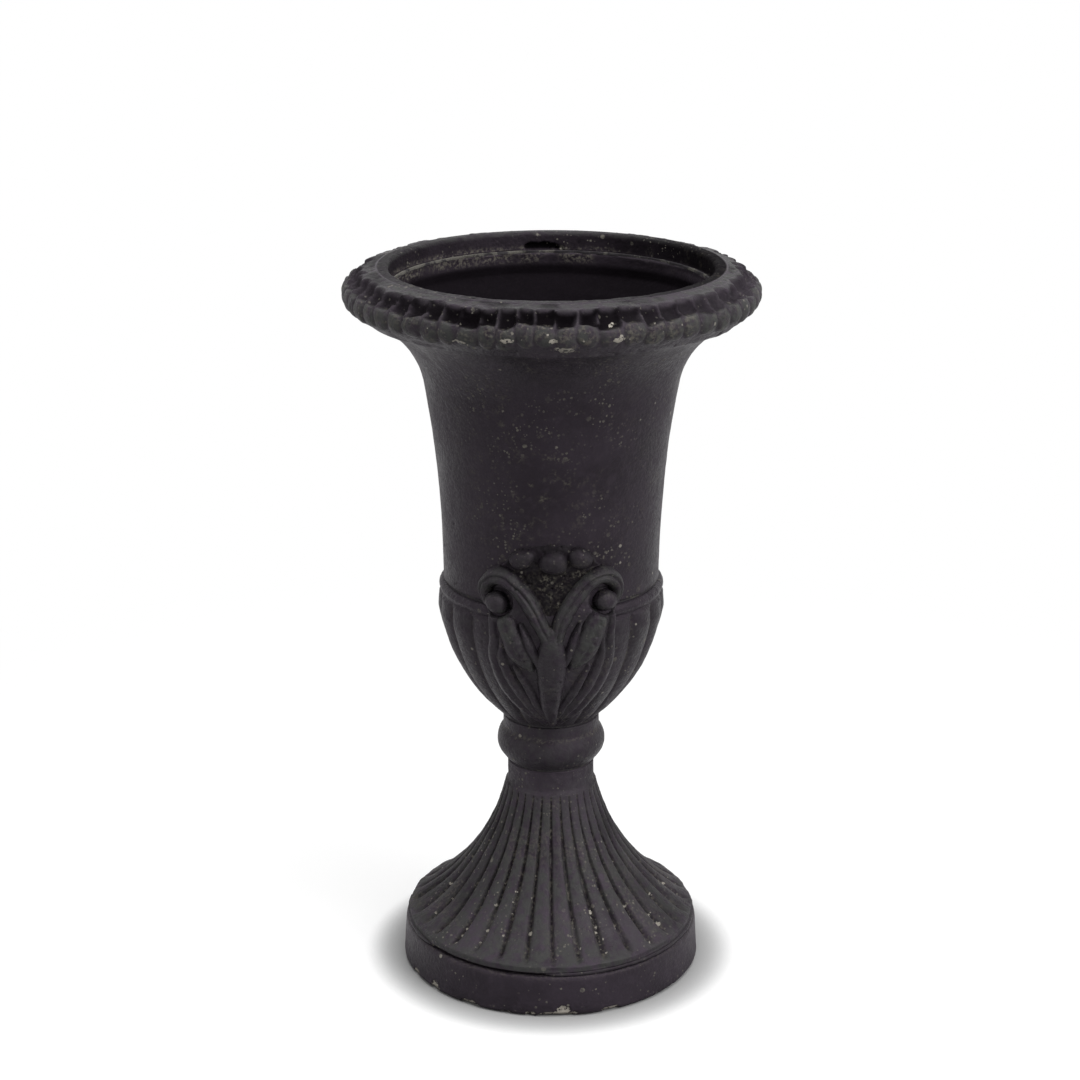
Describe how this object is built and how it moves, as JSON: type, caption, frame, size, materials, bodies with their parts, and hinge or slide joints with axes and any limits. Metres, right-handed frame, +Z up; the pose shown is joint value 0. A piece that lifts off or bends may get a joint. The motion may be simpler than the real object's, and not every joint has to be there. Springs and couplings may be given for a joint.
{
  "type": "urn planter",
  "caption": "Tall footed urn planter: fluted foot on a ring plinth, neck collar, gadrooned bowl with scrolled leaf ornaments, flared bell and a gadrooned rolled rim.",
  "frame": {"origin": "centre of the plinth's underside, on the floor", "axes": "+Z up along the urn's axis; -Y towards the front ornament; +X to the viewer's right"},
  "size_m": [0.3006, 0.3006, 0.54],
  "materials": {
    "black_cast_stone": "cast stone painted satin black, with pale specks, chips and dust in the recesses",
    "pale_mortar": "rough lime mortar, smeared with black paint",
    "zinc_steel": "dull zinc plate",
    "seal_rubber": "matte"
  },
  "bodies": {
    "root": {"plinth_ring": "black_cast_stone", "plinth_mortar": "pale_mortar", "fluted_foot": "black_cast_stone", "neck_lower_mortar": "pale_mortar", "neck_collar": "black_cast_stone", "neck_upper_mortar": "pale_mortar", "calyx_bowl": "black_cast_stone", "shoulder_joint_mortar": "pale_mortar", "bell_body": "black_cast_stone", "rim_joint_mortar": "pale_mortar", "rim_ring": "black_cast_stone", "front_ornament": "black_cast_stone", "back_ornament": "black_cast_stone", "ornament_pins": "zinc_steel", "tie_rod": "zinc_steel", "lower_washer": "zinc_steel", "lower_nut": "zinc_steel", "sealing_washer": "seal_rubber", "upper_washer": "zinc_steel", "upper_nut": "zinc_steel"}
  },
  "joints": []
}
